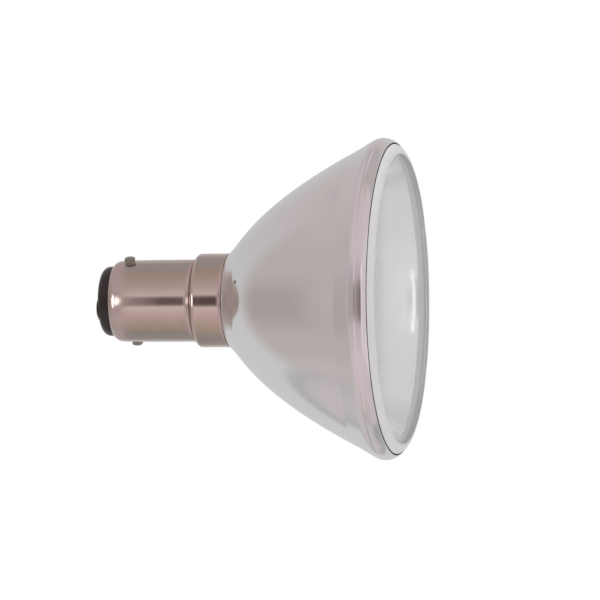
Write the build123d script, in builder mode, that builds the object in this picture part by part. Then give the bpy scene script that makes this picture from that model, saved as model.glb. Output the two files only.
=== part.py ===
from build123d import *
import os
from math import asin, atan2, cos, degrees, radians, sin, sqrt

# Halogen reflector bulb, 12 V class: a two-pin bayonet cap, an aluminium dish with a rolled rim,
# a round-edged front glass, and a quartz capsule cemented into the neck of the dish.
# Millimetres. The lamp axis is X with the light leaving towards +X, and +Z is up.
# The origin is on the lamp axis, in the plane of the two bayonet pins.

# Cap shell, drawn from one piece of thin brass
shell_radius = 7.525
shell_wall = 0.35
shoulder_x = -1.75
shoulder_length = 1.7
shoulder_drop = 1.1
step_start_x = 11.3
step_length = 2.05
step_rise = 1.05
skirt_length = 4.85

# Bayonet pins, and the turn of the cap about the lamp axis
cap_turn = 20.0
pin_radius = 1.0
pin_stand = 0.925
pin_tip_round = 0.3
pin_head_radius = 1.35
pin_head_thickness = 0.35
pin_fit = 0.03

# Insulator button that closes the cap
insulator_stand = 0.7
insulator_round = 1.4
insulator_inner_x = -1.7
insulator_fit = 0.04
boss_radius = 2.15
boss_rise = 0.05

# Contact eyelets, their solder and the lead wires
contact_offset = 3.7
contact_radius = 1.75
contact_thickness = 0.2
contact_round = 0.08
barrel_radius = 0.85
barrel_bore = 0.6
barrel_overhang = 0.2
barrel_fit = 0.03
solder_radius = 1.45
solder_height = 0.25
solder_stem_length = 0.7
solder_fit = 0.02
lead_radius = 0.35
lead_fit = 0.01
lead_tip_depth = 0.1
lead_bend = 1.5
lead_low_x = 1.2
lead_exit = 1.6

# Reflector dish, a paraboloid with a neck and a low stop behind and a rolled rim in front
dish_focal_length = 6.95
dish_axial_wall = 1.3
skirt_gap = 0.4
neck_length = 4.2
neck_wall = 0.8
neck_fit = 0.05
neck_stop_rise = 0.325
neck_stop_gap = 0.05
neck_flare_round = 0.8
neck_mouth_round = 0.4
flare_rise = 2.1
flare_run = 4.34
rim_wall = 0.9
rim_bead_round = 2.7
rim_back_angle = 29.0
lip_angle = 46.0
seat_width = 0.8

# Front glass
glass_radius = 28.4
glass_thickness = 3.4
glass_stand = 3.1
glass_front_round = 2.0
glass_back_chamfer = 0.3
glass_fit = 0.08

# Quartz capsule
pinch_length = 8.5
pinch_width = 9.0
pinch_thickness = 3.0
pinch_corner = 0.6
bulb_radius = 4.75
bulb_wall = 0.9
bulb_shoulder = 2.15
bulb_straight = 7.6
bulb_dome_height = 3.4
tip_length = 1.2
tip_root_radius = 1.0
tip_end_radius = 0.45

# Foils and filament inside the capsule
wire_offset = 2.0
foil_inset = 1.5
foil_length = 5.0
foil_width = 1.6
foil_thickness = 0.1
foil_fit = 0.01
post_radius = 0.25
post_fit = 0.01
coil_radius = 0.7
coil_wire_radius = 0.11
coil_turns = 8
coil_fit = 0.03

# Cement that holds the capsule in the neck
cement_overhang = 1.4
cement_length = 4.4
cement_fit = 0.05

# Cap sizes that follow
shoulder_sweep = 2 * atan2(shoulder_drop, shoulder_length)
shoulder_round = shoulder_length / sin(shoulder_sweep)
step_sweep = 2 * atan2(step_rise, step_length)
step_round = step_length / (2 * sin(step_sweep))
step_end_x = step_start_x + step_length
skirt_radius = shell_radius + step_rise
skirt_end_x = step_end_x + skirt_length
shell_bore = shell_radius - shell_wall
skirt_bore = skirt_radius - shell_wall
pin_tip_radius = shell_radius + pin_stand

# Dish and glass sizes that follow: the skirt of the cap ends at the stop, where the paraboloid begins
focal_width = 4 * dish_focal_length
neck_radius = skirt_bore - neck_fit
neck_bore = neck_radius - neck_wall
neck_start_x = skirt_end_x - neck_length
stop_radius = neck_radius + neck_stop_rise
stop_x = skirt_end_x + neck_stop_gap
dish_back_x = skirt_end_x + skirt_gap - neck_radius**2 / focal_width
dish_inside_x = dish_back_x + dish_axial_wall
focus_x = dish_inside_x + dish_focal_length
rim_radius = glass_radius + rim_wall
flare_radius = rim_radius - flare_rise
seat_radius = glass_radius - seat_width
collar_bore = glass_radius + glass_fit
rim_bead_x = dish_back_x + flare_radius**2 / focal_width + flare_run
bead_centre_radius = rim_radius - rim_bead_round
glass_face_x = rim_bead_x + glass_stand
glass_back_x = glass_face_x - glass_thickness
glass_edge_x = glass_face_x - glass_front_round

# Capsule sizes that follow: the bulb starts where the inside of the paraboloid would
bulb_start_x = dish_inside_x
pinch_start_x = bulb_start_x - pinch_length
foil_start_x = pinch_start_x + foil_inset
lead_high_x = pinch_start_x - lead_exit
cement_start_x = neck_start_x - cement_overhang
coil_length = 2 * wire_offset

# The lead plane holds the lamp axis and both contacts; its normal is the line of the bayonet pins
pin_line = Vector(0, -sin(radians(cap_turn)), cos(radians(cap_turn)))
lead_plane = Plane(origin=(0, 0, 0), x_dir=(1, 0, 0), z_dir=pin_line)


def cross_plane(x, offset=0.0):
    """Plane square to the lamp axis at x, moved by offset along the line of the contacts."""
    origin = lead_plane.from_local_coords((x, offset, 0))
    return Plane(origin=origin, x_dir=lead_plane.y_dir, z_dir=(1, 0, 0))


def shoulder_point(radius, sweep):
    """Point on the rounded end of the cap shell, sweep measured from where the barrel ends."""
    return (shoulder_x - radius * sin(sweep), shell_radius - shoulder_round + radius * cos(sweep))


def cap_wall_line(inset):
    """One face of the cap shell's wall, from its turned-in end to the end of the skirt."""
    shoulder_centre = (shoulder_x, shell_radius - shoulder_round)
    end = CenterArc(shoulder_centre, shoulder_round - inset, 90, degrees(shoulder_sweep))
    Line((shoulder_x, shell_radius - inset), (step_start_x, shell_radius - inset))
    CenterArc((step_start_x, shell_radius + step_round), step_round + inset, 270, degrees(step_sweep))
    CenterArc((step_end_x, skirt_radius - step_round), step_round - inset, 90, degrees(step_sweep))
    skirt = Line((step_end_x, skirt_radius - inset), (skirt_end_x, skirt_radius - inset))
    return end @ 1, skirt @ 1


# Cap shell
with BuildPart() as cap_shell:
    with BuildSketch():
        with BuildLine():
            outer_end, outer_skirt = cap_wall_line(0)
            inner_end, inner_skirt = cap_wall_line(shell_wall)
            Line(outer_end, inner_end)
            Line(outer_skirt, inner_skirt)
        make_face()
    revolve(axis=Axis.X)
    with BuildSketch(lead_plane):
        Circle(pin_radius + pin_fit)
    extrude(amount=skirt_radius, both=True, mode=Mode.SUBTRACT)


def bayonet_pin(direction):
    """Round pin pushed out through the shell, with a head that bears on the inside of the wall."""
    head_top = sqrt(shell_bore**2 - pin_head_radius**2) - pin_fit
    seat = Plane(origin=(0, 0, 0), x_dir=(1, 0, 0), z_dir=direction)
    with BuildPart() as pin:
        with BuildSketch(seat.offset(head_top - pin_head_thickness)):
            Circle(pin_head_radius)
        extrude(amount=pin_head_thickness)
        with BuildSketch(seat.offset(head_top)):
            Circle(pin_radius)
        extrude(amount=pin_tip_radius - head_top)
        tip = pin.faces().sort_by(Axis((0, 0, 0), tuple(direction)))[-1]
        fillet(tip.edges(), radius=pin_tip_round)
    return pin


bayonet_pin_upper = bayonet_pin(pin_line)
bayonet_pin_lower = bayonet_pin(pin_line * -1)

# Insulator
edge_sweep = shoulder_sweep + insulator_fit / shoulder_round
insulator_edge_x, insulator_edge_radius = shoulder_point(shoulder_round, edge_sweep)
insulator_round_x = insulator_edge_x - insulator_stand
insulator_end_x = insulator_round_x - insulator_round
boss_top_x = insulator_end_x - boss_rise
inside_round = shoulder_round - shell_wall - insulator_fit
with BuildPart() as insulator:
    with BuildSketch():
        with BuildLine():
            corner_centre = (insulator_round_x, insulator_edge_radius - insulator_round)
            corner = CenterArc(corner_centre, insulator_round, 90, 90)
            shoulder_centre = (shoulder_x, shell_radius - shoulder_round)
            inside = CenterArc(shoulder_centre, inside_round, 90, degrees(edge_sweep))
            Polyline(corner @ 0, (insulator_edge_x, insulator_edge_radius), inside @ 1)
            Polyline(
                inside @ 0,
                (insulator_inner_x, (inside @ 0).Y),
                (insulator_inner_x, 0),
                (insulator_end_x, 0),
                corner @ 1,
            )
        make_face()
    revolve(axis=Axis.X)
    for side in (1, -1):
        with BuildSketch(cross_plane(boss_top_x, side * contact_offset)):
            Circle(boss_radius)
        extrude(amount=insulator_edge_x - boss_top_x)
        with BuildSketch(cross_plane(boss_top_x, side * contact_offset)):
            Circle(barrel_radius + barrel_fit)
        extrude(amount=insulator_inner_x - boss_top_x, mode=Mode.SUBTRACT)


def contact_eyelet(side):
    """Tinned brass eyelet: a flange on the boss and a barrel through the insulator."""
    flange_x = boss_top_x - contact_thickness
    barrel_end_x = insulator_inner_x + barrel_overhang
    with BuildPart() as eyelet:
        with BuildSketch(cross_plane(flange_x, side * contact_offset)):
            Circle(contact_radius)
        extrude(amount=contact_thickness)
        fillet(eyelet.faces().sort_by(Axis.X)[0].edges(), radius=contact_round)
        with BuildSketch(cross_plane(boss_top_x, side * contact_offset)):
            Circle(barrel_radius)
        extrude(amount=barrel_end_x - boss_top_x)
        with BuildSketch(cross_plane(flange_x, side * contact_offset)):
            Circle(barrel_bore)
        extrude(amount=barrel_end_x - flange_x, mode=Mode.SUBTRACT)
    return eyelet


def solder_tip(side):
    """Drop of solder on the eyelet, with a stem in its bore that holds the end of the lead."""
    flange_x = boss_top_x - contact_thickness
    middle = side * contact_offset
    ball_radius = (solder_radius**2 + solder_height**2) / (2 * solder_height)
    ball_centre = (flange_x - solder_height + ball_radius, middle)
    with BuildPart() as tip:
        with BuildSketch(lead_plane):
            with BuildLine():
                drop = CenterArc(ball_centre, ball_radius, 180, -degrees(asin(solder_radius / ball_radius)))
                Polyline(drop @ 0, (flange_x, middle), drop @ 1)
            make_face()
        revolve(axis=Axis(lead_plane.from_local_coords((flange_x, middle, 0)), (1, 0, 0)))
        with BuildSketch(cross_plane(flange_x, middle)):
            Circle(barrel_bore - solder_fit)
        extrude(amount=solder_stem_length)
        with BuildSketch(cross_plane(flange_x + lead_tip_depth, middle)):
            Circle(lead_radius + lead_fit)
        extrude(amount=solder_stem_length, mode=Mode.SUBTRACT)
    return tip


def lead_wire(side):
    """Stiff wire from the foil in the pinch down to the solder of the contact."""
    tip_x = boss_top_x - contact_thickness + lead_tip_depth
    with BuildPart() as wire:
        with BuildLine(lead_plane) as route:
            FilletPolyline(
                (foil_start_x, side * wire_offset),
                (lead_high_x, side * wire_offset),
                (lead_low_x, side * contact_offset),
                (tip_x, side * contact_offset),
                radius=lead_bend,
            )
        with BuildSketch(cross_plane(foil_start_x, side * wire_offset)):
            Circle(lead_radius)
        sweep(path=route.wires()[0])
    return wire


def parabola(back_x, first_radius, last_radius):
    """Stretch of the dish's meridian: a parabola is exactly a Bezier curve of three points."""
    first = (back_x + first_radius**2 / focal_width, first_radius)
    last = (back_x + last_radius**2 / focal_width, last_radius)
    middle = (back_x + first_radius * last_radius / focal_width, (first_radius + last_radius) / 2)
    return Bezier(first, middle, last)


# Reflector
with BuildPart() as reflector:
    with BuildSketch():
        with BuildLine():
            outside = parabola(dish_back_x, stop_radius, flare_radius)
            bead = CenterArc(
                (rim_bead_x, bead_centre_radius), rim_bead_round, 90 + rim_back_angle, -rim_back_angle - lip_angle
            )
            Line(outside @ 1, bead @ 0)
            lip_round = glass_front_round + glass_fit
            lip_end_angle = degrees(asin(((bead @ 1).X - glass_edge_x) / lip_round))
            lip = CenterArc((glass_edge_x, glass_radius - glass_front_round), lip_round, 90, -lip_end_angle)
            Line(bead @ 1, lip @ 1)
            inside = parabola(dish_inside_x, neck_bore, seat_radius)
            Polyline(
                lip @ 0,
                (glass_back_x, collar_bore),
                (glass_back_x, seat_radius),
                inside @ 1,
            )
            Polyline(
                inside @ 0,
                (neck_start_x, neck_bore),
                (neck_start_x, neck_radius),
                (stop_x, neck_radius),
                (stop_x, stop_radius),
                outside @ 0,
            )
        make_face()
    revolve(axis=Axis.X)
    rings = reflector.edges().filter_by(GeomType.CIRCLE)
    flare = rings.sort_by(lambda ring: abs(ring.radius - stop_radius) + abs(ring.center().X - (outside @ 0).X))
    fillet(flare[0], radius=neck_flare_round)
    rings = reflector.edges().filter_by(GeomType.CIRCLE)
    mouth = rings.sort_by(lambda ring: abs(ring.radius - neck_bore) + abs(ring.center().X - (inside @ 0).X))
    fillet(mouth[0], radius=neck_mouth_round)

# Front glass
with BuildPart() as front_glass:
    with BuildSketch(Plane.YZ.offset(glass_back_x)):
        Circle(glass_radius)
    extrude(amount=glass_thickness)
    fillet(front_glass.faces().sort_by(Axis.X)[-1].edges(), radius=glass_front_round)
    chamfer(front_glass.faces().sort_by(Axis.X)[0].edges(), length=glass_back_chamfer)


def bulb_outline(inset):
    """Closed half outline of the capsule's bulb, moved inwards by inset."""
    shoulder_centre_x = bulb_start_x + bulb_shoulder
    dome_x = shoulder_centre_x + bulb_straight
    radius = bulb_radius - inset
    base = CenterArc((shoulder_centre_x, bulb_radius - bulb_shoulder), bulb_shoulder - inset, 90, 90)
    dome = EllipticalCenterArc((dome_x, 0), bulb_dome_height - inset, radius, 0, arc_size=90)
    Line(base @ 0, dome @ 1)
    Polyline(base @ 1, (bulb_start_x + inset, 0), dome @ 0)


# Capsule envelope
bulb_end_x = bulb_start_x + bulb_shoulder + bulb_straight + bulb_dome_height
with BuildPart() as capsule_envelope:
    with BuildSketch():
        with BuildLine():
            bulb_outline(0)
        make_face()
    revolve(axis=Axis.X)
    with BuildSketch():
        with BuildLine():
            Polyline(
                (bulb_end_x - bulb_wall / 2, 0),
                (bulb_end_x - bulb_wall / 2, tip_root_radius),
                (bulb_end_x + tip_length, tip_end_radius),
                (bulb_end_x + tip_length, 0),
                close=True,
            )
        make_face()
    revolve(axis=Axis.X)
    with BuildSketch(cross_plane(pinch_start_x)):
        RectangleRounded(pinch_width, pinch_thickness, pinch_corner)
    extrude(amount=bulb_start_x + bulb_shoulder - pinch_start_x)
    with BuildSketch():
        with BuildLine():
            bulb_outline(bulb_wall)
        make_face()
    revolve(axis=Axis.X, mode=Mode.SUBTRACT)
    for side in (1, -1):
        with BuildSketch(cross_plane(foil_start_x - foil_fit, side * wire_offset)):
            Rectangle(foil_width + 2 * foil_fit, foil_thickness + 2 * foil_fit)
        extrude(amount=foil_length + 2 * foil_fit, mode=Mode.SUBTRACT)
        with BuildSketch(cross_plane(pinch_start_x, side * wire_offset)):
            Circle(lead_radius + lead_fit)
        extrude(amount=foil_start_x - pinch_start_x, mode=Mode.SUBTRACT)
        with BuildSketch(cross_plane(foil_start_x + foil_length, side * wire_offset)):
            Circle(post_radius + post_fit)
        extrude(amount=bulb_start_x + bulb_shoulder - foil_start_x - foil_length, mode=Mode.SUBTRACT)


def sealing_foil(side):
    """Thin molybdenum strip in the pinch, between the lead wire and the filament post."""
    with BuildPart() as foil:
        with BuildSketch(cross_plane(foil_start_x, side * wire_offset)):
            Rectangle(foil_width, foil_thickness)
        extrude(amount=foil_length)
    return foil


def filament_post(side):
    """Straight wire from the foil up to one end of the coil."""
    post_start_x = foil_start_x + foil_length
    post_end_x = focus_x - coil_radius - coil_wire_radius - coil_fit
    with BuildPart() as post:
        with BuildSketch(cross_plane(post_start_x, side * wire_offset)):
            Circle(post_radius)
        extrude(amount=post_end_x - post_start_x)
    return post


# Filament, a coil across the lamp axis at the focus of the dish, both ends towards the posts
coil_start = lead_plane.from_local_coords((focus_x, -coil_length / 2, 0))
coil_plane = Plane(origin=coil_start, x_dir=(-1, 0, 0), z_dir=lead_plane.y_dir)
coil = coil_plane.location * Helix(pitch=coil_length / coil_turns, height=coil_length, radius=coil_radius)
with BuildPart() as filament:
    with BuildSketch(Plane(origin=coil @ 0, z_dir=coil % 0)):
        Circle(coil_wire_radius)
    sweep(path=coil, is_frenet=True)

# Cement plug
with BuildPart() as capsule_cement:
    with BuildSketch(cross_plane(cement_start_x)):
        Circle(neck_bore - cement_fit)
        RectangleRounded(
            pinch_width + 2 * cement_fit, pinch_thickness + 2 * cement_fit, pinch_corner, mode=Mode.SUBTRACT
        )
    extrude(amount=cement_length)

pieces = {
    "cap_shell": cap_shell,
    "bayonet_pin_upper": bayonet_pin_upper,
    "bayonet_pin_lower": bayonet_pin_lower,
    "insulator": insulator,
    "reflector": reflector,
    "front_glass": front_glass,
    "capsule_envelope": capsule_envelope,
    "capsule_cement": capsule_cement,
    "filament": filament,
}
for side, place in ((-1, "near"), (1, "far")):
    pieces[f"contact_eyelet_{place}"] = contact_eyelet(side)
    pieces[f"solder_tip_{place}"] = solder_tip(side)
    pieces[f"lead_wire_{place}"] = lead_wire(side)
    pieces[f"sealing_foil_{place}"] = sealing_foil(side)
    pieces[f"filament_post_{place}"] = filament_post(side)

os.makedirs("parts", exist_ok=True)
for name, piece in pieces.items():
    piece.part.label = name
    export_step(piece.part, f"parts/{name}.step")
    print(name, "volume", round(piece.part.volume, 2), "mm3")
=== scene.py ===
# %% [markdown]
# # A halogen reflector bulb
#
# The eye sees three parts of this bulb first: a small bayonet cap, a bare aluminium dish, and a thick
# front glass. All three are bright and smooth, so they show their surroundings more than a colour of
# their own. The lesson therefore has two halves: shapes that are turned as truly as on a lathe, and a
# plain studio for them to mirror.

# %% The frame: the CAD model that every piece is fitted to
from math import asin, atan2, cos, degrees, hypot, pi, radians, sin

import bmesh
import bpy
from mathutils import Matrix, Vector


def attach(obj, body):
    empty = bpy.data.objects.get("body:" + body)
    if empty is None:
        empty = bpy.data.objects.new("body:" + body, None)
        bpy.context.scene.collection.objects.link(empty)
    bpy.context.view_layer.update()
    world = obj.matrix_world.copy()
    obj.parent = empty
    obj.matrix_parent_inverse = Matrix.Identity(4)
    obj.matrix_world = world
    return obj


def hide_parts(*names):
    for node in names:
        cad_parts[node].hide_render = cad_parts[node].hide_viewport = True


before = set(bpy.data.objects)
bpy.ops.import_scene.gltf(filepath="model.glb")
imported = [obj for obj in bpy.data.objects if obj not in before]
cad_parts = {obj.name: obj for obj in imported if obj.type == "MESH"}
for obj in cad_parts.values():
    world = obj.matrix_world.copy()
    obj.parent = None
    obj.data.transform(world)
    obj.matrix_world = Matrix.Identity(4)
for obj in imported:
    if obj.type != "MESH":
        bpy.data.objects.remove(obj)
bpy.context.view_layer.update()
mm = 0.001
print("nodes in the frame:", len(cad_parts))

# %% [markdown]
# ## Two helpers
#
# Colours are written as the hex values that a paint program shows. Blender calculates in linear light,
# so one function converts them. A second function adds a node to a tree with its settings and its
# links, which keeps every tree below short enough to read.

# %% Colour and node helpers
# A Mix node has several sockets of one name, so its two colours and its result go by number
mix_first, mix_second, mix_result = 6, 7, 2


def linear(hex_colour, level=1.0):
    """Linear RGBA of an sRGB hex colour such as "B4A79E", made brighter or darker by a level."""
    channels = [int(hex_colour[i : i + 2], 16) / 255 for i in (0, 2, 4)]
    light = [c / 12.92 if c <= 0.04045 else ((c + 0.055) / 1.055) ** 2.4 for c in channels]
    return [level * c for c in light] + [1.0]


def add_node(tree, kind, inputs=None, **settings):
    """Adds a node. Inputs are set by name or number, and an output socket given as a value is linked."""
    node = tree.nodes.new(kind)
    for name, value in settings.items():
        setattr(node, name, value)
    for key, value in (inputs or {}).items():
        if isinstance(value, bpy.types.NodeSocket):
            tree.links.new(value, node.inputs[key])
        else:
            node.inputs[key].default_value = value
    return node


print("test colour B4A79E is", [round(c, 3) for c in linear("B4A79E")[:3]])

# %% [markdown]
# ## Finishes
#
# Each finish starts from the real material and from how its surface was made. The metals are smooth
# and nearly uniform, so their character comes from roughness: a little more where the plating was
# handled, a little less where it was buffed, and fine rings where the dish was spun. A pattern, mostly
# a noise on Object coordinates, gives that unevenness. Its scale is a real size in millimetres.

# %% An empty finish, and how a pattern varies it
# Noise seldom leaves this range, so the whole change of roughness lies within it
noise_low, noise_high = 0.3, 0.7


def new_finish(name, metallic=0.0):
    """A material with a Principled shader, its output and Object coordinates."""
    material = bpy.data.materials.new(name)
    material.use_nodes = True
    tree = material.node_tree
    tree.nodes.clear()
    shader = add_node(tree, "ShaderNodeBsdfPrincipled", {"Metallic": metallic})
    add_node(tree, "ShaderNodeOutputMaterial", {"Surface": shader.outputs["BSDF"]})
    place = add_node(tree, "ShaderNodeTexCoord").outputs["Object"]
    return material, tree, shader, place


def mottle(tree, shader, pattern, colours, roughness, relief=0.0):
    """Lets a pattern vary colour, roughness and, with relief, the surface. Returns the roughness."""
    shades = {"Factor": pattern, mix_first: linear(colours[0]), mix_second: linear(colours[1])}
    colour = add_node(tree, "ShaderNodeMix", shades, data_type="RGBA")
    tree.links.new(colour.outputs[mix_result], shader.inputs["Base Color"])
    spread = {"Value": pattern, "From Min": noise_low, "From Max": noise_high}
    spread |= {"To Min": roughness[0], "To Max": roughness[1]}
    haze = add_node(tree, "ShaderNodeMapRange", spread).outputs["Result"]
    tree.links.new(haze, shader.inputs["Roughness"])
    if relief > 0:
        bump = add_node(tree, "ShaderNodeBump", {"Height": pattern, "Distance": relief})
        tree.links.new(bump.outputs["Normal"], shader.inputs["Normal"])
    return haze


print("roughness follows noise from", noise_low, "to", noise_high)

# %% [markdown]
# ## Nickel plate
#
# The cap is brass under a thin coat of nickel, drawn bright. The brass shows through as a warm grey. A
# plain mirror would look new and false, so a slow noise makes it hazy in places. The contact end is
# rubbed by the holder, and a gradient along the axis makes it duller there.

# %% Nickel-plated brass, deep drawn and bright
rub_start_x = 1.0 * mm
rub_end_x = -1.0 * mm
rub_haze = 0.10


def nickel_plate():
    """Thin nickel over brass: a warm grey mirror, a little hazy where hands and holders have rubbed it."""
    material, tree, shader, place = new_finish("nickel_plated_brass", metallic=1.0)
    smudge_size = 4 * mm
    smudge = add_node(tree, "ShaderNodeTexNoise", {"Vector": place, "Scale": 1 / smudge_size, "Detail": 3.0})
    haze = mottle(tree, shader, smudge.outputs["Fac"], ("C9B8B0", "D6C7C0"), (0.06, 0.10))
    axis = add_node(tree, "ShaderNodeSeparateXYZ", {"Vector": place})
    rubbed = {"Value": axis.outputs["X"], "From Min": rub_start_x, "From Max": rub_end_x, "To Max": rub_haze}
    rub = add_node(tree, "ShaderNodeMapRange", rubbed, interpolation_type="SMOOTHSTEP")
    worn = add_node(tree, "ShaderNodeMath", {0: haze, 1: rub.outputs["Result"]}, operation="ADD")
    tree.links.new(worn.outputs[0], shader.inputs["Roughness"])
    return material


nickel = nickel_plate()
print("finish:", nickel.name)

# %% [markdown]
# ## Aluminium
#
# The dish is one sheet of aluminium, spun and buffed outside, and brightened inside to throw the light
# forward. Spinning leaves faint rings, so the outside has a noise that changes along the axis alone.
# The inside gets a fine orange peel instead. A picture of brushed metal would not follow the curve.

# %% Aluminium: buffed outside, a clear mirror inside


def spun_aluminium():
    """Aluminium sheet spun over a former and buffed: a soft mirror with faint rings left by the tool."""
    material, tree, shader, place = new_finish("spun_aluminium_buffed", metallic=1.0)
    ring_spacing = 0.9 * mm
    axis = add_node(tree, "ShaderNodeSeparateXYZ", {"Vector": place})
    along = add_node(tree, "ShaderNodeCombineXYZ", {"X": axis.outputs["X"]})
    rings = add_node(
        tree,
        "ShaderNodeTexNoise",
        {"Vector": along.outputs["Vector"], "Scale": 1 / ring_spacing, "Detail": 2.0},
    )
    mottle(tree, shader, rings.outputs["Fac"], ("EDEBEB", "F3F2F2"), (0.06, 0.10))
    return material


def bright_aluminium():
    """The inside of the dish: aluminium brightened to a clear mirror, with a faint orange peel."""
    material, tree, shader, place = new_finish("bright_aluminium_mirror", metallic=1.0)
    peel_size = 1.2 * mm
    peel = add_node(tree, "ShaderNodeTexNoise", {"Vector": place, "Scale": 1 / peel_size, "Detail": 1.0})
    mottle(tree, shader, peel.outputs["Fac"], ("EEEEEF", "F4F4F5"), (0.05, 0.07), relief=0.002 * mm)
    return material


aluminium_outside = spun_aluminium()
aluminium_inside = bright_aluminium()
print("finishes:", aluminium_outside.name, aluminium_inside.name)

# %% [markdown]
# ## Glass
#
# The front is pressed glass, the capsule is blown quartz, and the button at the contact end is black
# glass pressed hot. Clear glass needs no colour to speak of: it refracts, and a slow noise keeps it from
# looking computed. The matt edge of the front glass is a finish of its own: a pale surface that lets
# almost nothing through, a simple stand-in for true frosting.

# %% Glasses
pressed_glass_index = 1.52
quartz_index = 1.46


def clear_glass(name, index, hex_colour, smooth, rough):
    """Clear pressed or blown glass: all of its look is reflection and refraction, over a faint waviness."""
    material, tree, shader, place = new_finish(name)
    shader.inputs["Base Color"].default_value = linear(hex_colour)
    shader.inputs["Transmission Weight"].default_value = 1.0
    shader.inputs["IOR"].default_value = index
    wave_size = 6 * mm
    wave = add_node(tree, "ShaderNodeTexNoise", {"Vector": place, "Scale": 1 / wave_size, "Detail": 1.0})
    spread = {"Value": wave.outputs["Fac"], "From Min": noise_low, "From Max": noise_high}
    spread |= {"To Min": smooth, "To Max": rough}
    haze = add_node(tree, "ShaderNodeMapRange", spread)
    tree.links.new(haze.outputs["Result"], shader.inputs["Roughness"])
    return material


def ground_edge():
    """The rounded edge of the front glass, drawn matt: it scatters light and looks milky."""
    material, tree, shader, place = new_finish("ground_glass_edge")
    shader.inputs["Transmission Weight"].default_value = 0.02
    shader.inputs["IOR"].default_value = pressed_glass_index
    grain_size = 0.3 * mm
    grain = add_node(tree, "ShaderNodeTexNoise", {"Vector": place, "Scale": 1 / grain_size, "Detail": 3.0})
    mottle(tree, shader, grain.outputs["Fac"], ("EEF5F5", "F6FDFD"), (0.4, 0.55))
    return material


def black_glass():
    """Opaque black glass of the cap's insulator, pressed hot: glossy, with a soft waviness."""
    material, tree, shader, place = new_finish("black_insulator_glass")
    wave_size = 1.5 * mm
    wave = add_node(tree, "ShaderNodeTexNoise", {"Vector": place, "Scale": 1 / wave_size, "Detail": 2.0})
    mottle(tree, shader, wave.outputs["Fac"], ("28221E", "39312C"), (0.16, 0.3), relief=0.01 * mm)
    return material


pressed_glass = clear_glass("pressed_front_glass", pressed_glass_index, "F9FCFB", 0.01, 0.02)
quartz = clear_glass("fused_quartz", quartz_index, "FCFCFD", 0.01, 0.02)
glass_edge = ground_edge()
insulator_glass = black_glass()
print("glasses:", pressed_glass.name, quartz.name, glass_edge.name, insulator_glass.name)

# %% [markdown]
# ## Dull metals and cement
#
# Pins, contacts, solder and wires are small and handled or soldered, so they are duller than the cap.
# They differ in tint and grain but not in kind, so one function makes them all from a list of values.

# %% Dull metals and cement


def dull_metal(name, colours, roughness, grain_size):
    """Bare metal with a grain: pins, tinned flanges, solder and wires, and the land under the glass darkened
    as painted shade.
    """
    material, tree, shader, place = new_finish(name, metallic=1.0)
    grain = add_node(tree, "ShaderNodeTexNoise", {"Vector": place, "Scale": 1 / grain_size, "Detail": 4.0})
    mottle(tree, shader, grain.outputs["Fac"], colours, roughness, relief=0.012 * mm)
    return material


def fired_cement():
    """Pale lamp cement, fired hard: matt and a little gritty."""
    material, tree, shader, place = new_finish("lamp_cement")
    grit_size = 0.5 * mm
    grit = add_node(tree, "ShaderNodeTexNoise", {"Vector": place, "Scale": 1 / grit_size, "Detail": 6.0})
    mottle(tree, shader, grit.outputs["Fac"], ("C9C2B1", "E6E1D4"), (0.8, 0.9), relief=0.05 * mm)
    return material


# The land behind the glass is dull aluminium, and its darker colour is painted shade for the dark band seen
# through the edge of the glass
dull_land_painted_shade = dull_metal("aluminium_dull_land_painted_shade", ("A4A3A3", "BBBABA"), (0.4, 0.5), 0.5 * mm)
pin_metal = dull_metal("nickel_plated_pin", ("928C81", "A49E92"), (0.2, 0.3), 0.8 * mm)
tinned_brass = dull_metal("tinned_brass", ("8C8378", "B0A698"), (0.3, 0.45), 0.6 * mm)
solder = dull_metal("soft_solder", ("77777A", "A3A3A6"), (0.3, 0.55), 0.5 * mm)
tungsten = dull_metal("tungsten_wire", ("5C5A58", "7A7876"), (0.35, 0.5), 0.3 * mm)
molybdenum = dull_metal("molybdenum", ("8E8C8A", "ABA9A6"), (0.25, 0.4), 0.4 * mm)
cement = fired_cement()
print("finishes in all:", len(bpy.data.materials))

# %% [markdown]
# ## A lathe made of nodes
#
# The cap shell, the dish and the front glass are turned shapes: an outline carried round the lamp axis.
# They could be spun in Edit Mode, but a Geometry Nodes tree keeps the rule in one place for all three.
# It takes an outline drawn as edges, with X along the axis and Z as the radius, sweeps it round a
# circle, welds the points that meet on the axis, and gives the faces their finish. The outline itself
# is a few arcs and lines, so the true form stays readable.

# %% The lathe tree
turning_circle = 10 * mm
lathe_weld = 0.001 * mm


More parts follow.
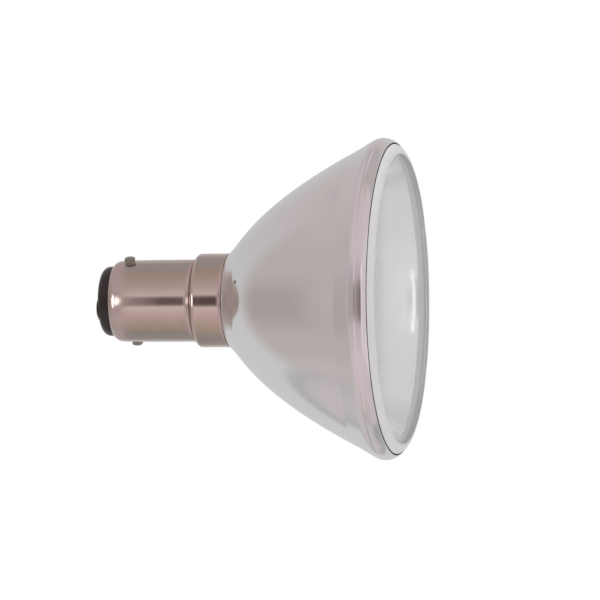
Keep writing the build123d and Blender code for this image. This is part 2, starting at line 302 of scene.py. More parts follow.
def lathe_tree():
    """Geometry Nodes group that turns an outline in the XZ plane about the X axis."""
    tree = bpy.data.node_groups.new("lathe", "GeometryNodeTree")
    tree.is_modifier = True
    tree.interface.new_socket("Geometry", in_out="OUTPUT", socket_type="NodeSocketGeometry")
    tree.interface.new_socket("Outline", in_out="INPUT", socket_type="NodeSocketGeometry")
    tree.interface.new_socket("Segments", in_out="INPUT", socket_type="NodeSocketInt")
    tree.interface.new_socket("Finish", in_out="INPUT", socket_type="NodeSocketMaterial")
    start = add_node(tree, "NodeGroupInput").outputs
    outline = add_node(tree, "GeometryNodeMeshToCurve", {"Mesh": start["Outline"]})
    here = add_node(tree, "GeometryNodeInputPosition").outputs["Position"]
    axis = add_node(tree, "ShaderNodeSeparateXYZ", {"Vector": here}).outputs
    reach = add_node(tree, "ShaderNodeMath", {0: axis["Z"], 1: turning_circle}, operation="SUBTRACT")
    depth = add_node(tree, "ShaderNodeMath", {0: axis["X"], 1: -1.0}, operation="MULTIPLY")
    laid = add_node(tree, "ShaderNodeCombineXYZ", {"X": reach.outputs[0], "Y": depth.outputs[0]})
    tool = add_node(
        tree,
        "GeometryNodeSetPosition",
        {"Geometry": outline.outputs["Curve"], "Position": laid.outputs["Vector"]},
    )
    round_trip = {"Resolution": start["Segments"], "Radius": turning_circle}
    circle = add_node(tree, "GeometryNodeCurvePrimitiveCircle", round_trip)
    turned = add_node(
        tree,
        "GeometryNodeCurveToMesh",
        {"Curve": circle.outputs["Curve"], "Profile Curve": tool.outputs["Geometry"]},
    )
    level = add_node(
        tree, "GeometryNodeTransform", {"Geometry": turned.outputs["Mesh"], "Rotation": (0, pi / 2, 0)}
    )
    welded = add_node(
        tree, "GeometryNodeMergeByDistance", {"Geometry": level.outputs["Geometry"], "Distance": lathe_weld}
    )
    whole = add_node(tree, "GeometryNodeRealizeInstances", {"Geometry": welded.outputs["Geometry"]})
    dressed = add_node(
        tree,
        "GeometryNodeSetMaterial",
        {"Geometry": whole.outputs["Geometry"], "Material": start["Finish"]},
    )
    add_node(tree, "NodeGroupOutput", {"Geometry": dressed.outputs["Geometry"]})
    return tree


lathe = lathe_tree()
print("lathe tree has", len(lathe.nodes), "nodes")

# %% From a tree to a finished piece


def worked_out(name, mesh, tree, values):
    """Object whose mesh is what a tree makes of it, with the tree's named inputs set by identifier."""
    piece = bpy.data.objects.new(name, mesh)
    bpy.context.scene.collection.objects.link(piece)
    modifier = piece.modifiers.new(tree.name, "NODES")
    modifier.node_group = tree
    for item in tree.interface.items_tree:
        if item.name in values:
            modifier[item.identifier] = values[item.name]
    bpy.context.view_layer.update()
    result = piece.evaluated_get(bpy.context.evaluated_depsgraph_get())
    piece.data = bpy.data.meshes.new_from_object(result)
    piece.modifiers.remove(modifier)
    piece.data.name = name
    return piece


def hand_over(piece, node, sharp_angle=35.0):
    """Turns the faces outwards, shades them smooth up to sharp corners, and gives them a node's place."""
    shape = bmesh.new()
    shape.from_mesh(piece.data)
    bmesh.ops.recalc_face_normals(shape, faces=shape.faces)
    shape.to_mesh(piece.data)
    shape.free()
    piece.data.shade_smooth()
    piece.data.set_sharp_from_angle(angle=radians(sharp_angle))
    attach(piece, "root")
    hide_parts(node)
    print(piece.name, "has", len(piece.data.vertices), "points and", len(piece.data.polygons), "faces")


print("pieces ride on the body root")

# %% Outlines, and turning them
same_point = 0.0001 * mm


def arc(centre_x, centre_r, radius, start, sweep, step=2.0):
    """Points along an arc in the (x, radius) plane; angles in degrees from +X towards +radius."""
    count = max(2, round(abs(sweep) / step))
    angles = [radians(start + sweep * i / count) for i in range(count + 1)]
    return [(centre_x + radius * cos(a), centre_r + radius * sin(a)) for a in angles]


def run(first, last, count=8):
    """Points along a straight stretch."""
    steps = [i / count for i in range(count + 1)]
    return [(first[0] + (last[0] - first[0]) * s, first[1] + (last[1] - first[1]) * s) for s in steps]


def turn(name, points, segments, finish):
    """Turned piece from an outline: a closed loop, or an open line whose two ends lie on the axis."""
    corners = [points[0]]
    for x, r in points[1:]:
        if hypot(x - corners[-1][0], r - corners[-1][1]) > same_point:
            corners.append((x, r))
    edges = [(i, i + 1) for i in range(len(corners) - 1)]
    if corners[0][1] > same_point:
        edges.append((len(corners) - 1, 0))
    outline = bpy.data.meshes.new(name + "_outline")
    outline.from_pydata([(x, 0, r) for x, r in corners], edges, [])
    return worked_out(name, outline, lathe, {"Segments": segments, "Finish": finish})


def dress(piece, finish, chosen):
    """Gives a second finish to the faces chosen by their place and by how far they look ahead and out."""
    piece.data.materials.append(finish)
    index = len(piece.data.materials) - 1
    count = 0
    for face in piece.data.polygons:
        x, y, z = face.center
        r = hypot(y, z)
        out = (face.normal.y * y + face.normal.z * z) / max(r, mm)
        if chosen(x, r, face.normal.x, out):
            face.material_index = index
            count += 1
    print(piece.name, "has", count, "faces in", finish.name)


print("a quarter turn is drawn with", len(arc(0, 0, 1, 0, 90)), "points")

# %% [markdown]
# ## The cap shell
#
# The shell is drawn from one disc of thin brass and nickel plated. Its contact end is turned in over the
# insulator, and a step leads to the wider skirt that grips the neck of the dish. A few small things give
# it life. The barrel is drawn in by a hair towards its end, which bends the long reflection. The tool has
# left a fine crease at the foot of the step, and the crest above it is steep, so the step reads as a dark
# line beside a light one. The very end of the skirt is belled out by a hair and catches a thin highlight.
# A lathe outline holds all of this; sculpting would lose the true round.

# %% Cap shell sizes
shell_radius = 7.525 * mm
shell_wall = 0.35 * mm
shoulder_x = -1.75 * mm
shoulder_length = 1.7 * mm
shoulder_drop = 1.1 * mm
step_start_x = 11.3 * mm
step_length = 2.05 * mm
step_rise = 1.05 * mm
skirt_length = 4.85 * mm
skirt_edge_round = 0.17 * mm
crown_x = 7.0 * mm
crown_drop = 0.075 * mm
lead_x = -0.5 * mm
lead_drop = 0.05 * mm
step_lead = 1.1 * mm
step_lead_rise = 0.04 * mm
crease_x = 12.1 * mm
crease_width = 0.3 * mm
crease_depth = 0.27 * mm
crest_run = 0.8 * mm
bell_length = 0.9 * mm
bell_rise = 0.034 * mm
shoulder_sweep = 2 * degrees(atan2(shoulder_drop, shoulder_length))
shoulder_round = shoulder_length / sin(radians(shoulder_sweep))
step_end_x = step_start_x + step_length
skirt_radius = shell_radius + step_rise
skirt_end_x = step_end_x + skirt_length
print("cap", round((skirt_end_x - shoulder_x) / mm, 2), "mm long from its shoulder to the end of its skirt")

# %% Cap shell
cap_segments = 192
barrel_points = 96
skirt_points = 48


def drawn_in(x):
    """How far the barrel is drawn in at x: a long crown, and a shorter lead into the shoulder."""
    crown = max(0, (crown_x - x) / (crown_x - shoulder_x))
    lead = max(0, (lead_x - x) / (lead_x - shoulder_x))
    return crown_drop * crown**2 + lead_drop * lead**2


def opened(x, end_x, length, rise):
    """How far a stretch of wall has opened out at x, on its way to its full rise at end_x."""
    return rise * max(0, 1 - (end_x - x) / length) ** 2


def cap_face(inset, crease):
    """One face of the shell's wall, from its turned-in end to the skirt, inset from the outside."""
    end_r = shell_radius - shoulder_round
    end = arc(shoulder_x, end_r, shoulder_round - inset, 90 + shoulder_sweep, -shoulder_sweep)
    share = [(r - end[0][1]) / (end[-1][1] - end[0][1]) for x, r in end]
    end = [(x, r - (crown_drop + lead_drop) * s) for (x, r), s in zip(end, share)]
    foot_x = crease_x - crease_width / 2
    foot_r = shell_radius + step_lead_rise
    barrel = run((shoulder_x, shell_radius - inset), (foot_x + inset, shell_radius - inset), barrel_points)
    rises = [opened(x - inset, foot_x, step_lead, step_lead_rise) for x, r in barrel]
    barrel = [(x, r - drawn_in(x) + rise) for (x, r), rise in zip(barrel, rises)]
    groove = [(crease_x + inset, foot_r - inset - crease)]
    riser_x = foot_x + crease_width + inset
    quarter = arc(0, 0, 1, 180, -90, 5)
    crest_rise = skirt_radius - foot_r
    crest = [(riser_x + crest_run * (1 + x), foot_r - inset + crest_rise * r) for x, r in quarter]
    skirt = run(crest[-1], (skirt_end_x - skirt_edge_round, skirt_radius - inset), skirt_points)
    skirt = [(x, r + opened(x, skirt_end_x, bell_length, bell_rise)) for x, r in skirt]
    return end + barrel + groove + crest + skirt


edge_x = skirt_end_x - skirt_edge_round
skirt_edge = arc(edge_x, skirt_radius - skirt_edge_round, skirt_edge_round, 90, -90, 15)
skirt_edge += arc(edge_x, skirt_radius - shell_wall + skirt_edge_round, skirt_edge_round, 0, -90, 15)
skirt_edge = [(x, r + bell_rise) for x, r in skirt_edge]
cap_outline = cap_face(0, crease_depth) + skirt_edge + cap_face(shell_wall, 0)[::-1]
cap_shell = turn("cap_shell_plated", cap_outline, cap_segments, nickel)
hand_over(cap_shell, "cap_shell")

# %% [markdown]
# ## The dish
#
# The reflector is one aluminium piece, spun to a paraboloid so that light from its focus leaves in a
# beam. Its neck slips into the skirt of the cap, and its rim is rolled out to a bead and over the edge
# of the glass. The outline below is exactly that: two parabolas, one outside and one inside, a bead,
# and a lip. Points on a parabola are spaced evenly in radius, which is closest where it curves most.
# Near the neck the outside is eased back to the stop, so that dish and cap meet in one sweep.

# %% Reflector sizes
focal_length = 6.95 * mm
axial_wall = 1.3 * mm
skirt_gap = 0.4 * mm
neck_length = 4.2 * mm
neck_wall = 0.8 * mm
neck_fit = 0.05 * mm
stop_rise = 0.325 * mm
stop_gap = 0.05 * mm
ease_radius = 11.0 * mm
flare_rise = 2.1 * mm
flare_run = 4.34 * mm
rim_wall = 0.9 * mm
bead_round = 2.7 * mm
bead_back_angle = 29.0
lip_angle = 46.0
seat_width = 0.8 * mm
glass_radius = 28.4 * mm
glass_stand = 3.1 * mm
glass_thickness = 3.4 * mm
glass_front_round = 2.0 * mm
# Twice the gap of the CAD model, so that the seam shows at the size of the picture
glass_fit = 0.16 * mm
neck_radius = skirt_radius - shell_wall - neck_fit
neck_bore = neck_radius - neck_wall
neck_start_x = skirt_end_x - neck_length
stop_radius = neck_radius + stop_rise
stop_x = skirt_end_x + stop_gap
dish_back_x = skirt_end_x + skirt_gap - neck_radius**2 / (4 * focal_length)
rim_radius = glass_radius + rim_wall
flare_radius = rim_radius - flare_rise
flare_x = dish_back_x + flare_radius**2 / (4 * focal_length)
bead_x = flare_x + flare_run
bead_r = rim_radius - bead_round
seat_radius = glass_radius - seat_width
land_start_x = dish_back_x + axial_wall + seat_radius**2 / (4 * focal_length)
glass_face_x = bead_x + glass_stand
glass_back_x = glass_face_x - glass_thickness
glass_edge_x = glass_face_x - glass_front_round
print("dish from", round(neck_start_x / mm, 2), "mm to its bead at", round(bead_x / mm, 2), "mm")

# %% Reflector
dish_segments = 256
# How far a face has to look ahead, in or out, to count as mirror or as land
mirror_lean = 0.2
land_lean = 0.1


def parabola(back_x, first_radius, last_radius, count=60):
    """Points on a meridian of the dish, from one radius to another."""
    radii = [first_radius + (last_radius - first_radius) * i / count for i in range(count + 1)]
    return [(back_x + r**2 / (4 * focal_length), r) for r in radii]


def eased(points):
    """The same meridian, brought back towards the stop near the neck."""
    reach = dish_back_x + stop_radius**2 / (4 * focal_length) - stop_x
    shares = [max(0, (ease_radius - r) / (ease_radius - stop_radius)) for x, r in points]
    return [(x - reach * share**2, r) for (x, r), share in zip(points, shares)]


bead = arc(bead_x, bead_r, bead_round, 90 + bead_back_angle, -bead_back_angle - lip_angle)
lip_round = glass_front_round + glass_fit
lip_sweep = degrees(asin((bead[-1][0] - glass_edge_x) / lip_round))
lip = arc(glass_edge_x, glass_radius - glass_front_round, lip_round, 90 - lip_sweep, lip_sweep)
dish_outline = run((neck_start_x, neck_bore), (neck_start_x, neck_radius), 2)
dish_outline += run((neck_start_x, neck_radius), (stop_x, neck_radius), 4)
dish_outline += eased(parabola(dish_back_x, stop_radius, flare_radius, 90))
dish_outline += run((flare_x, flare_radius), bead[0]) + bead + lip
dish_outline += run((glass_edge_x, glass_radius + glass_fit), (glass_back_x, glass_radius + glass_fit), 3)
dish_outline += parabola(dish_back_x + axial_wall, seat_radius, neck_bore)
reflector = turn("reflector_spun", dish_outline, dish_segments, aluminium_outside)
hand_over(reflector, "reflector")
dress(
    reflector,
    aluminium_inside,
    lambda x, r, ahead, out: ahead > mirror_lean and out < -mirror_lean and r < seat_radius,
)
# The land behind the glass takes the dull metal whose darker colour is painted shade
dress(
    reflector,
    dull_land_painted_shade,
    lambda x, r, ahead, out: ahead > -land_lean and x > land_start_x and out < land_lean,
)

# %% [markdown]
# ## The front glass
#
# A thick pressed disc with a rounded front edge, held by the rolled lip and standing a little proud of
# it. It is a solid piece of glass, so it is modelled as one: light bends at both faces and at the edge.
# Most of the rounded edge is drawn matt, as its even, pale look in the photograph suggests. A clear round
# would act as a lens, with dark and bright lines. A narrow clear ring is left beside the lip, so that the
# seam stays dark.

# %% Front glass
glass_back_chamfer = 0.3 * mm
matt_inner_radius = 26.4 * mm
matt_outer_radius = 28.17 * mm
glass_outline = [(glass_back_x, 0), (glass_back_x, glass_radius - glass_back_chamfer)]
glass_outline += run((glass_back_x + glass_back_chamfer, glass_radius), (glass_edge_x, glass_radius), 3)
glass_outline += arc(glass_edge_x, glass_radius - glass_front_round, glass_front_round, 90, -90)
glass_outline += [(glass_face_x, 0)]
front_glass = turn("front_glass_pressed", glass_outline, dish_segments, pressed_glass)
hand_over(front_glass, "front_glass")
dress(
    front_glass,
    glass_edge,
    lambda x, r, ahead, out: x > glass_edge_x and matt_inner_radius < r < matt_outer_radius,
)

# %% [markdown]
# ## The filament
#
# A halogen filament is tungsten wire wound to a close coil, set across the axis at the focus of the
# dish. A coil follows a rule: turns, radius, length and wire. So a second tree draws it from a Spiral
# curve with a round wire swept along it.

# %% The coil tree
coil_turns = 8
coil_radius = 0.7 * mm
coil_length = 4.0 * mm
coil_wire_radius = 0.11 * mm
cap_turn = radians(20.0)
focus = Vector((dish_back_x + axial_wall + focal_length, 0, 0))
coil_along = Vector((0, cos(cap_turn), sin(cap_turn)))
coil_first = Vector((-1, 0, 0))
coil_axes = Matrix((coil_first, coil_along.cross(coil_first), coil_along)).transposed()
points_per_turn = 24
wire_corners = 8


def coil_tree():
    """Geometry Nodes group that winds a round wire to a coil, laid across the focus."""
    tree = bpy.data.node_groups.new("coil", "GeometryNodeTree")
    tree.is_modifier = True
    tree.interface.new_socket("Geometry", in_out="OUTPUT", socket_type="NodeSocketGeometry")
    tree.interface.new_socket("Geometry", in_out="INPUT", socket_type="NodeSocketGeometry")
    for size in ("Turns", "Radius", "Length", "Wire Radius"):
        tree.interface.new_socket(size, in_out="INPUT", socket_type="NodeSocketFloat")
    tree.interface.new_socket("Finish", in_out="INPUT", socket_type="NodeSocketMaterial")
    start = add_node(tree, "NodeGroupInput").outputs
    spiral = add_node(
        tree,
        "GeometryNodeCurveSpiral",
        {
            "Resolution": points_per_turn,
            "Rotations": start["Turns"],
            "Start Radius": start["Radius"],
            "End Radius": start["Radius"],
            "Height": start["Length"],
        },
    )
    wire_round = {"Resolution": wire_corners, "Radius": start["Wire Radius"]}
    wire = add_node(tree, "GeometryNodeCurvePrimitiveCircle", wire_round)
    wound = add_node(
        tree,
        "GeometryNodeCurveToMesh",
        {"Curve": spiral.outputs["Curve"], "Profile Curve": wire.outputs["Curve"], "Fill Caps": True},
    )
    laid = add_node(
        tree,
        "GeometryNodeTransform",
        {
            "Geometry": wound.outputs["Mesh"],
            "Translation": focus - coil_along * coil_length / 2,
            "Rotation": coil_axes.to_euler(),
        },
    )
    whole = add_node(tree, "GeometryNodeRealizeInstances", {"Geometry": laid.outputs["Geometry"]})
    dressed = add_node(
        tree,
        "GeometryNodeSetMaterial",
        {"Geometry": whole.outputs["Geometry"], "Material": start["Finish"]},
    )
    add_node(tree, "NodeGroupOutput", {"Geometry": dressed.outputs["Geometry"]})
    return tree


coil = coil_tree()
print("coil tree has", len(coil.nodes), "nodes")

# %% Filament
coil_sizes = {
    "Turns": float(coil_turns),
    "Radius": coil_radius,
    "Length": coil_length,
    "Wire Radius": coil_wire_radius,
    "Finish": tungsten,
}
filament = worked_out("filament_wound", bpy.data.meshes.new("filament_start"), coil, coil_sizes)
hand_over(filament, "filament")

# %% [markdown]
# ## Small pieces
#
# Pins, insulator, contacts, capsule and wires have the right form in the CAD model, but its triangles
# are loose and flat shaded. A copy is welded and smoothed, so that glass and metal reflect evenly.

# %% Welded copies of the small pieces
copy_weld = 0.0005 * mm


def welded_copy(node, name, finish):
    """Welded, smooth-shaded copy of a CAD node that takes its place."""
    shape = bmesh.new()
    shape.from_mesh(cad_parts[node].data)
    bmesh.ops.remove_doubles(shape, verts=shape.verts, dist=copy_weld)
    mesh = bpy.data.meshes.new(name)
    shape.to_mesh(mesh)
    shape.free()
    mesh.materials.append(finish)
    piece = bpy.data.objects.new(name, mesh)
    bpy.context.scene.collection.objects.link(piece)
    hand_over(piece, node)


for place in ("upper", "lower"):
    welded_copy(f"bayonet_pin_{place}", f"bayonet_pin_{place}_plated", pin_metal)
welded_copy("insulator", "insulator_pressed", insulator_glass)
welded_copy("capsule_envelope", "capsule_blown", quartz)
welded_copy("capsule_cement", "capsule_cement_fired", cement)
for place in ("near", "far"):
    welded_copy(f"contact_eyelet_{place}", f"contact_eyelet_{place}_tinned", tinned_brass)
    welded_copy(f"solder_tip_{place}", f"solder_tip_{place}_set", solder)
    welded_copy(f"lead_wire_{place}", f"lead_wire_{place}_drawn", molybdenum)
    welded_copy(f"sealing_foil_{place}", f"sealing_foil_{place}_rolled", molybdenum)
    welded_copy(f"filament_post_{place}", f"filament_post_{place}_drawn", molybdenum)

# %% [markdown]
# ## The camera
#
# The photograph was taken from level with the lamp axis, from some way off, with the front of the bulb
# turned a little towards the lens. The scale in the picture and the distance give the focal length.

# %% Camera
picture_px = 600
sensor_mm = 36.0
camera_distance = 1000 * mm
camera_azimuth = radians(12.0)
camera_roll = radians(0.47)
pixels_per_metre = 5480
aim = Vector((31.2 * mm, 0, -0.05 * mm))
lens_data = bpy.data.cameras.new("photo_camera")
lens_data.sensor_width = sensor_mm
lens_data.lens = sensor_mm * camera_distance * pixels_per_metre / picture_px
lens_data.clip_start = 10 * mm
lens_data.clip_end = 20.0
camera = bpy.data.objects.new("photo_camera", lens_data)
toward_camera = Vector((sin(camera_azimuth), -cos(camera_azimuth), 0))
level_right = Vector((cos(camera_azimuth), sin(camera_azimuth), 0))
level_up = Vector((0, 0, 1))
right = cos(camera_roll) * level_right - sin(camera_roll) * level_up
up = cos(camera_roll) * level_up + sin(camera_roll) * level_right
turned_axes = Matrix((right, up, toward_camera)).transposed()
camera.matrix_world = Matrix.Translation(aim + camera_distance * toward_camera) @ turned_axes.to_4x4()
bpy.context.scene.collection.objects.link(camera)
bpy.context.scene.camera = camera
print("lens", round(lens_data.lens, 1), "mm")

# %% [markdown]
# ## The studio
#
# Bright metal is lit by what it mirrors. In plain white it would vanish, so it stands in a light tent.
# The tent's back wall is a neutral grey and its front wall a warm white, brightest near eye level. The
# camera itself sees plain white behind the bulb, by Light Path's Is Camera Ray. Metal and glass see the
# tent, because its walls are what draws their shape.
#
# A third, rosy cloth hangs in the middle for the rolled rim, which mirrors almost every direction at
# once. The barrel and the skirt of the cap mirror only a narrow strip of directions, and there the plain
# walls are kept. The rest are panels, set as a photographer sets cards, until the reflections lie where
# the photograph has them.

# %% The tent's cloths
world = bpy.data.worlds.new("light_tent")
bpy.context.scene.world = world
world.use_nodes = True
sky = world.node_tree
sky.nodes.clear()
direction = add_node(sky, "ShaderNodeTexCoord").outputs["Generated"]
axes = add_node(sky, "ShaderNodeSeparateXYZ", {"Vector": direction}).outputs
frontward = add_node(sky, "ShaderNodeMath", {0: axes["Y"], 1: -1.0}, operation="MULTIPLY").outputs[0]
azimuth = add_node(sky, "ShaderNodeMath", {0: axes["X"], 1: frontward}, operation="ARCTAN2").outputs[0]
upright = {"Value": axes["Z"], "From Min": -1.0, "From Max": 1.0}
height = add_node(sky, "ShaderNodeMapRange", upright).outputs["Result"]
neutral, blush, rose, sand, petal = "FFFFFF", "FFF3F4", "FFEDF1", "FFEFE2", "FFEEF4"
pearl, mallow, lilac, oyster = "FFF6F8", "FFF1F5", "FFF2F8", "FFF6F5"
coral, dusk, ember = "FFF3F3", "FFEDEF", "FFDAD3"
# Each stop is a height, from 0 straight down to 1 straight up, then a brightness and a hue
wall_stops = {
    "back": [
        (0.0, 0.38, neutral),
        (0.10, 0.40, neutral),
        (0.21, 0.46, neutral),
        (0.235, 0.64, neutral),
        (0.5, 0.62, neutral),
        (0.65, 0.58, neutral),
        (0.81, 0.57, blush),
        (0.89, 0.43, neutral),
        (1.0, 0.42, neutral),
    ],
    "front": [
        (0.0, 0.48, sand),
        (0.06, 0.58, sand),
        (0.2, 0.74, rose),
        (0.36, 0.88, blush),
        (0.5, 0.88, blush),
        (0.65, 0.78, blush),
        (0.8, 0.62, rose),
        (0.94, 0.52, sand),
        (1.0, 0.46, sand),
    ],
    "middle": [
        (0.0, 0.64, petal),
        (0.14, 0.67, petal),
        (0.19, 0.65, petal),
        (0.265, 0.59, petal),
        (0.38, 0.53, petal),
        (0.5, 0.47, petal),
        (0.61, 0.48, petal),
        (0.67, 0.54, petal),
        (0.73, 0.60, petal),
        (0.8, 0.64, petal),
        (1.0, 0.615, petal),
    ],
}
walls = {}
for side, stops in wall_stops.items():
    cloth = add_node(sky, "ShaderNodeValToRGB", {"Fac": height})
    elements = cloth.color_ramp.elements
    while len(elements) < len(stops):
        elements.new(1.0)
    for element, (position, brightness, hue) in zip(elements, stops):
        element.position = position
        element.color = linear(hue, brightness)
    walls[side] = cloth.outputs["Color"]
print("tent walls:", *walls)

# %% Front and back wall, and how a panel is hung
# The two walls blend where the direction looks a little behind to a little ahead
seam_behind = -0.25
seam_ahead = 0.2
seam = {"Value": frontward, "From Min": seam_behind, "From Max": seam_ahead}
frontness = add_node(sky, "ShaderNodeMapRange", seam, interpolation_type="SMOOTHSTEP").outputs["Result"]
two_walls = {"Factor": frontness, mix_first: walls["back"], mix_second: walls["front"]}
plain_tent = add_node(sky, "ShaderNodeMix", two_walls, data_type="RGBA").outputs[mix_result]


def between(value, first, last, soft):
    """Mask that is 1 between two values and falls smoothly to 0 over a soft width at both ends."""
    rise = {"Value": value, "From Min": first - soft, "From Max": first + soft}
    fall = {"Value": value, "From Min": last + soft, "From Max": last - soft}
    opening = add_node(sky, "ShaderNodeMapRange", rise, interpolation_type="SMOOTHSTEP")
    closing = add_node(sky, "ShaderNodeMapRange", fall, interpolation_type="SMOOTHSTEP")
    both = {0: opening.outputs["Result"], 1: closing.outputs["Result"]}
    return add_node(sky, "ShaderNodeMath", both, operation="MULTIPLY").outputs[0]


def hang(behind, angle, sides, soft_side, ends, soft_end, hue, brightness):
    """Panel between two azimuths and two elevations, in degrees, in front of what is behind it."""
    across = between(angle, radians(sides[0]), radians(sides[1]), radians(soft_side))
    upward = between(axes["Z"], sin(radians(ends[0])), sin(radians(ends[1])), sin(radians(soft_end)))
    mask = add_node(sky, "ShaderNodeMath", {0: across, 1: upward}, operation="MULTIPLY").outputs[0]
    cover = {"Factor": mask, mix_first: behind, mix_second: linear(hue, brightness)}
    return add_node(sky, "ShaderNodeMix", cover, data_type="RGBA").outputs[mix_result]


print("world tree so far has", len(sky.nodes), "nodes")

# %% The middle cloth and the panels that the rim mirrors
middle_sides = (-60, 40)
middle_soft = 6
strip_sides = (-16.5, -11.5)
strip_soft = 1.5
# A panel has its sides in azimuth and how soft they are, its ends in elevation and how soft they are, all
# in degrees, then a hue and a brightness
rim_panels = {
    "upper_left": ((-190, -58), 8, (46, 88), 4, petal, 0.60),
    "lower_left": ((-190, -58), 8, (-88, -37), 2, pearl, 0.59),
    "lower_back": ((160, 190), 6, (-88, -44), 4, pearl, 0.57),
    "under_back": ((120, 190), 6, (-88, -66), 3, pearl, 0.57),
    "upper_back": ((104, 172), 8, (47, 86), 5, blush, 0.50),
}
middle = between(azimuth, radians(middle_sides[0]), radians(middle_sides[1]), radians(middle_soft))
with_middle = {"Factor": middle, mix_first: plain_tent, mix_second: walls["middle"]}
tent = add_node(sky, "ShaderNodeMix", with_middle, data_type="RGBA").outputs[mix_result]
for panel in rim_panels.values():
    tent = hang(tent, azimuth, *panel)
sideways = add_node(sky, "ShaderNodeMath", {0: axes["X"]}, operation="ARCSINE").outputs[0]
strip = between(sideways, radians(strip_sides[0]), radians(strip_sides[1]), radians(strip_soft))
with_strip = {"Factor": strip, mix_first: tent, mix_second: plain_tent}
tent = add_node(sky, "ShaderNodeMix", with_strip, data_type="RGBA").outputs[mix_result]
print("panels for the rim:", *rim_panels)

# %% Panels for the glass and the dish, the dark opening and the bright streak
room_panels = {
    "above_glass": ((40, 100), 8, (34, 76), 8, mallow, 0.64),
    "below_glass": ((40, 126), 8, (-86, -34), 8, mallow, 0.62),
    "right_window": ((84, 140), 6, (-26, 26), 8, neutral, 1.05),
    "beside_opening": ((46, 78), 6, (-30, 30), 12, lilac, 0.68),
    "back_card": ((150, 178), 8, (-14, 14), 8, neutral, 0.76),
    "dish_shade": ((-102, -60), 8, (-38, 38), 12, oyster, 0.51),
    "dish_core": ((-97, -72), 6, (-14, 8), 8, coral, 0.42),
}
for panel in room_panels.values():
    tent = hang(tent, azimuth, *panel)
# The opening darkens to the right in steps, each given by where it begins and how bright it is
opening_steps = {-62: 0.45, -20: 0.43, -4: 0.37, 8: 0.30, 20: 0.23}
opening_end = 42
for first_side, shade in opening_steps.items():
    tent = hang(tent, azimuth, (first_side, opening_end), 2.0, (-12, 9), 7, dusk, shade)
# The dark line along the barrel and the skirt
tent = hang(tent, azimuth, (-14.1, -10), 0.8, (-12, 9.5), 6, ember, 0.12)
# The streak bends to the right above and below, so its azimuth shifts by the height squared
streak_lean = -0.36
squared = add_node(sky, "ShaderNodeMath", {0: axes["Z"], 1: axes["Z"]}, operation="MULTIPLY").outputs[0]
lean = {0: squared, 1: streak_lean, 2: azimuth}
leaning = add_node(sky, "ShaderNodeMath", lean, operation="MULTIPLY_ADD").outputs[0]
tent = hang(tent, leaning, (41.6, 42.0), 0.2, (-18, 22), 3, neutral, 3.2)
print("panels for glass and dish:", *room_panels)

# %% What the camera sees behind the bulb
path = add_node(sky, "ShaderNodeLightPath").outputs
tent_light = add_node(sky, "ShaderNodeBackground", {"Color": tent}).outputs["Background"]
plain_white = add_node(sky, "ShaderNodeBackground", {"Color": linear(neutral)}).outputs["Background"]
seen = add_node(sky, "ShaderNodeMixShader", {0: path["Is Camera Ray"], 1: tent_light, 2: plain_white})
add_node(sky, "ShaderNodeOutputWorld", {"Surface": seen.outputs["Shader"]})
print("world tree has", len(sky.nodes), "nodes")

# %% [markdown]
# ## Four lamps
#
# The turned-in shoulder of the cap carries one soft highlight, and the step and the end of the skirt catch
# a fainter one. The matt edge of the glass is lit from above and from below. Panels in the tent would also
# draw lines on the rim of the dish, so area lamps that are linked to one piece each do this. Only that piece
# blocks its lamp, so that the floor does not stand in the way of the lower one.

# %% Lamps for the cap and for the edge of the glass
lamp_distance = 0.5
# A lamp has the piece it lights, its azimuth and elevation, its half width and half height, all in
# degrees, and its brightness
studio_lamps = {
    "shoulder_lamp": (cap_shell, -36.0, 0.0, 17.0, 16.0, 1.85),
    "edge_lamp": (cap_shell, -18.3, 0.0, 1.8, 11.0, 0.5),
    "upper_glass_lamp": (front_glass, 10.0, 65.0, 18.0, 18.0, 2.1),
    "lower_glass_lamp": (front_glass, 10.0, -65.0, 18.0, 18.0, 2.2),
}
for name, (piece, side, rise, half_width, half_height, radiance) in studio_lamps.items():
    lit_pieces = bpy.data.collections.new("lit_by_" + name)
    lit_pieces.objects.link(piece)
    lamp_data = bpy.data.lights.new(name, "AREA")
    lamp_data.shape = "ELLIPSE"
    lamp_data.size = 2 * lamp_distance * sin(radians(half_width))
    lamp_data.size_y = 2 * lamp_distance * sin(radians(half_height))
    lamp_data.energy = radiance * pi * lamp_data.size * lamp_data.size_y
    lamp = bpy.data.objects.new(name, lamp_data)
    level_way = Vector((sin(radians(side)), -cos(radians(side)), 0))
    toward_lamp = cos(radians(rise)) * level_way + sin(radians(rise)) * Vector((0, 0, 1))
    lamp_turn = toward_lamp.to_track_quat("Z", "Y").to_matrix().to_4x4()
    lamp.matrix_world = Matrix.Translation(lamp_distance * toward_lamp) @ lamp_turn
    bpy.context.scene.collection.objects.link(lamp)
    lamp.light_linking.receiver_collection = lit_pieces
    lamp.light_linking.blocker_collection = lit_pieces
    print(name, "of", round(lamp_data.energy, 2), "W")

# %% [markdown]
# ## The floor
#
# A sheet of pale paper lies below the bulb and keeps its shadow. For the camera it fades to the white of
# the background towards its edge, so no horizon cuts the picture. Metal and glass do not see it, because
# the lower half of the tent already stands for it there.

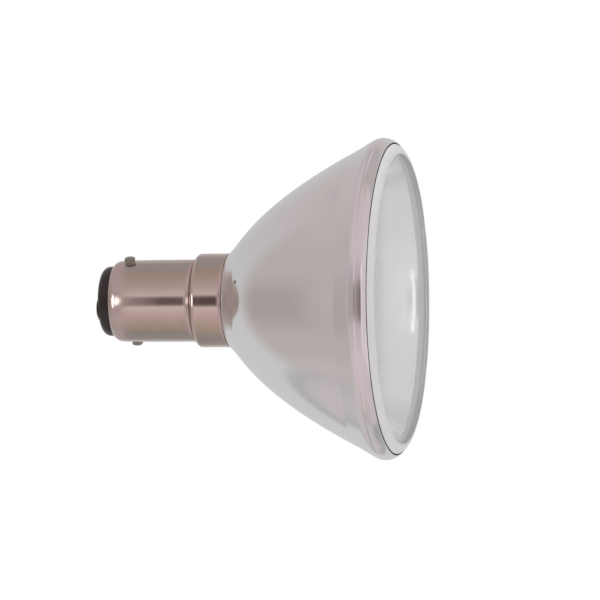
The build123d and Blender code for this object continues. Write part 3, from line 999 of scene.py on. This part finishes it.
# %% Floor
floor_drop = 100 * mm
floor_radius = 0.75
floor_segments = 96
fade_start = 0.2
fade_end = 0.7
fade_near = 0.4
paper, floor_tree, floor_shader, floor_place = new_finish("pale_floor_paper")
floor_shader.inputs["Base Color"].default_value = linear("F2F0EF")
floor_shader.inputs["Roughness"].default_value = 0.9
floor_path = add_node(floor_tree, "ShaderNodeLightPath").outputs
from_middle = add_node(floor_tree, "ShaderNodeVectorMath", {0: floor_place}, operation="LENGTH")
fade = {
    "Value": from_middle.outputs["Value"],
    "From Min": fade_start,
    "From Max": fade_end,
    "To Min": fade_near,
}
faded = add_node(floor_tree, "ShaderNodeMapRange", fade, interpolation_type="SMOOTHSTEP").outputs["Result"]
to_camera = {0: faded, 1: floor_path["Is Camera Ray"]}
whiteness = add_node(floor_tree, "ShaderNodeMath", to_camera, operation="MULTIPLY").outputs[0]
glow = add_node(floor_tree, "ShaderNodeEmission", {"Color": linear(neutral)}).outputs["Emission"]
paper_or_glow = {0: whiteness, 1: floor_shader.outputs["BSDF"], 2: glow}
floor_seen = add_node(floor_tree, "ShaderNodeMixShader", paper_or_glow)
floor_out = next(node for node in floor_tree.nodes if node.type == "OUTPUT_MATERIAL")
floor_tree.links.new(floor_seen.outputs["Shader"], floor_out.inputs["Surface"])
floor_shape = bmesh.new()
floor_place_below = Matrix.Translation((0, 0, -floor_drop))
bmesh.ops.create_circle(
    floor_shape, cap_ends=True, segments=floor_segments, radius=floor_radius, matrix=floor_place_below
)
floor_mesh = bpy.data.meshes.new("floor")
floor_shape.to_mesh(floor_mesh)
floor_shape.free()
floor_mesh.materials.append(paper)
floor = bpy.data.objects.new("floor", floor_mesh)
bpy.context.scene.collection.objects.link(floor)
floor.visible_glossy = False
floor.visible_transmission = False
print("floor", 2 * floor_radius, "m across")

# %% [markdown]
# ## The view
#
# The picture uses the plain Standard view, so colours come out as they were written.

# %% View
bpy.context.scene.view_settings.view_transform = "Standard"
